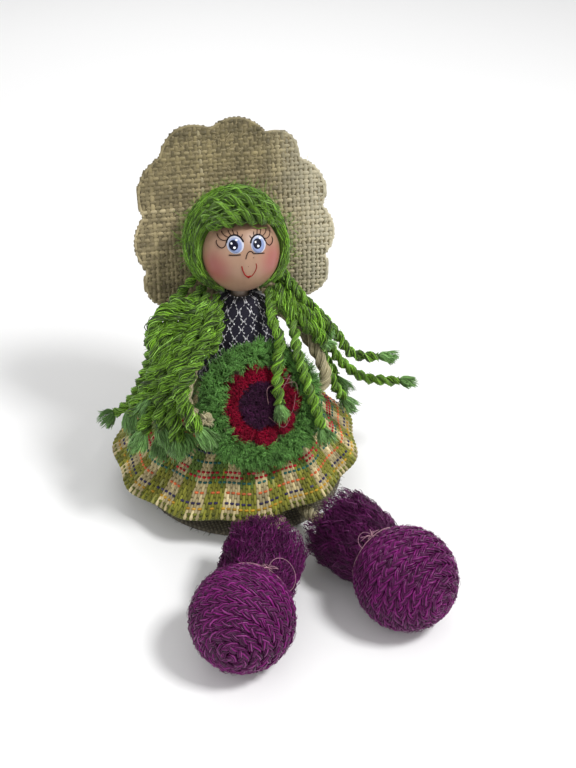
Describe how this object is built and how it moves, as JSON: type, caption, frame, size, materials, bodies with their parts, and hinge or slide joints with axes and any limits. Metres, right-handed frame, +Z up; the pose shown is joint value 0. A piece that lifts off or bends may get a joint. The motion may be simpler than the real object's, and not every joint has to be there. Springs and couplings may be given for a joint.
{
  "type": "art doll",
  "caption": "Seated cloth and fique doll with wooden ball head, scalloped burlap hat, twisted plaits, a large flower in its hands and ball boots on hinged cord legs.",
  "frame": {"origin": "middle of the flat base disc's underside, on the surface the doll sits on", "axes": "+Z up; the doll faces -Y; her left is +X"},
  "size_m": [0.1696, 0.2217, 0.1898],
  "materials": {
    "burlap": "coarse open basket weave",
    "base_burlap": "dark coarse weave",
    "body_cloth": "plain stuffed cotton",
    "bodice_cloth": "dark weave with pale lattice flecks",
    "skirt_cloth": "stiff striped hand weave",
    "hair_fique": "dyed twisted fique",
    "flower_green": "cut pile",
    "flower_crimson": "cut pile",
    "flower_purple": "cut pile",
    "natural_fique": "undyed twisted fique",
    "skin_wood": "painted satin",
    "dowel_wood": "bare",
    "boot_fique": "braided dyed fique",
    "cuff_fique": "frayed dyed fique",
    "wadding": "wadding ball, hidden",
    "pink_thread": "sewing thread"
  },
  "bodies": {
    "torso": {"base_disc": "base_burlap", "body_core": "body_cloth", "bodice": "bodice_cloth", "skirt": "skirt_cloth", "neck_dowel": "dowel_wood", "head_ball": "skin_wood", "hat": "burlap", "hair_cap": "hair_fique", "fringe_roll": "hair_fique", "plait_left_front": "hair_fique", "plait_left_flower": "hair_fique", "plait_left_upper": "hair_fique", "plait_left_side": "hair_fique", "plait_left_lower": "hair_fique", "plait_left_back": "hair_fique", "plait_right_outer": "hair_fique", "plait_right_side": "hair_fique", "plait_right_lower": "hair_fique", "plait_right_long": "hair_fique", "plait_right_inner": "hair_fique", "flower_backing": "natural_fique", "flower_leaf_ring": "flower_green", "flower_petal_ring": "flower_crimson", "flower_centre": "flower_purple", "arm_right": "natural_fique", "arm_left": "natural_fique", "hand_right": "natural_fique", "hand_left": "natural_fique", "leg_root_right": "natural_fique", "leg_root_left": "natural_fique"},
    "hip_right": {"leg_link_right": "natural_fique"},
    "leg_right": {"leg_right": "natural_fique"},
    "boot_right": {"ankle_cord_right": "natural_fique", "boot_core_right": "wadding", "boot_cover_right": "boot_fique", "boot_cuff_right": "cuff_fique", "ankle_tie_right": "pink_thread"},
    "hip_left": {"leg_link_left": "natural_fique"},
    "leg_left": {"leg_left": "natural_fique"},
    "boot_left": {"ankle_cord_left": "natural_fique", "boot_core_left": "wadding", "boot_cover_left": "boot_fique", "boot_cuff_left": "cuff_fique", "ankle_tie_left": "pink_thread"}
  },
  "joints": [
    {"name": "hip_spread_right", "type": "hinge", "parent": "torso", "child": "hip_right", "pos_m": [0.00313, -0.0571, 0.0125], "axis": [0, 0, 1], "range_deg": [-20, 0]},
    {"name": "hip_swing_right", "type": "hinge", "parent": "hip_right", "child": "leg_right", "pos_m": [-0.00137, -0.06431, 0.0125], "axis": [-0.827, 0.5167, 0.2216], "range_deg": [-75, 10]},
    {"name": "ankle_nod_right", "type": "hinge", "parent": "leg_right", "child": "boot_right", "pos_m": [-0.01388, -0.08432, 0.0205], "axis": [-0.848, 0.5299, 0], "range_deg": [-20, 20]},
    {"name": "hip_spread_left", "type": "hinge", "parent": "torso", "child": "hip_left", "pos_m": [0.01697, -0.05534, 0.0125], "axis": [0, 0, 1], "range_deg": [0, 20]},
    {"name": "hip_swing_left", "type": "hinge", "parent": "hip_left", "child": "leg_left", "pos_m": [0.0197, -0.06339, 0.0125], "axis": [-0.9181, -0.3108, -0.246], "range_deg": [-75, 10]},
    {"name": "ankle_nod_left", "type": "hinge", "parent": "leg_left", "child": "boot_left", "pos_m": [0.02521, -0.07968, 0.0205], "axis": [-0.9472, -0.3206, 0], "range_deg": [-20, 20]}
  ]
}
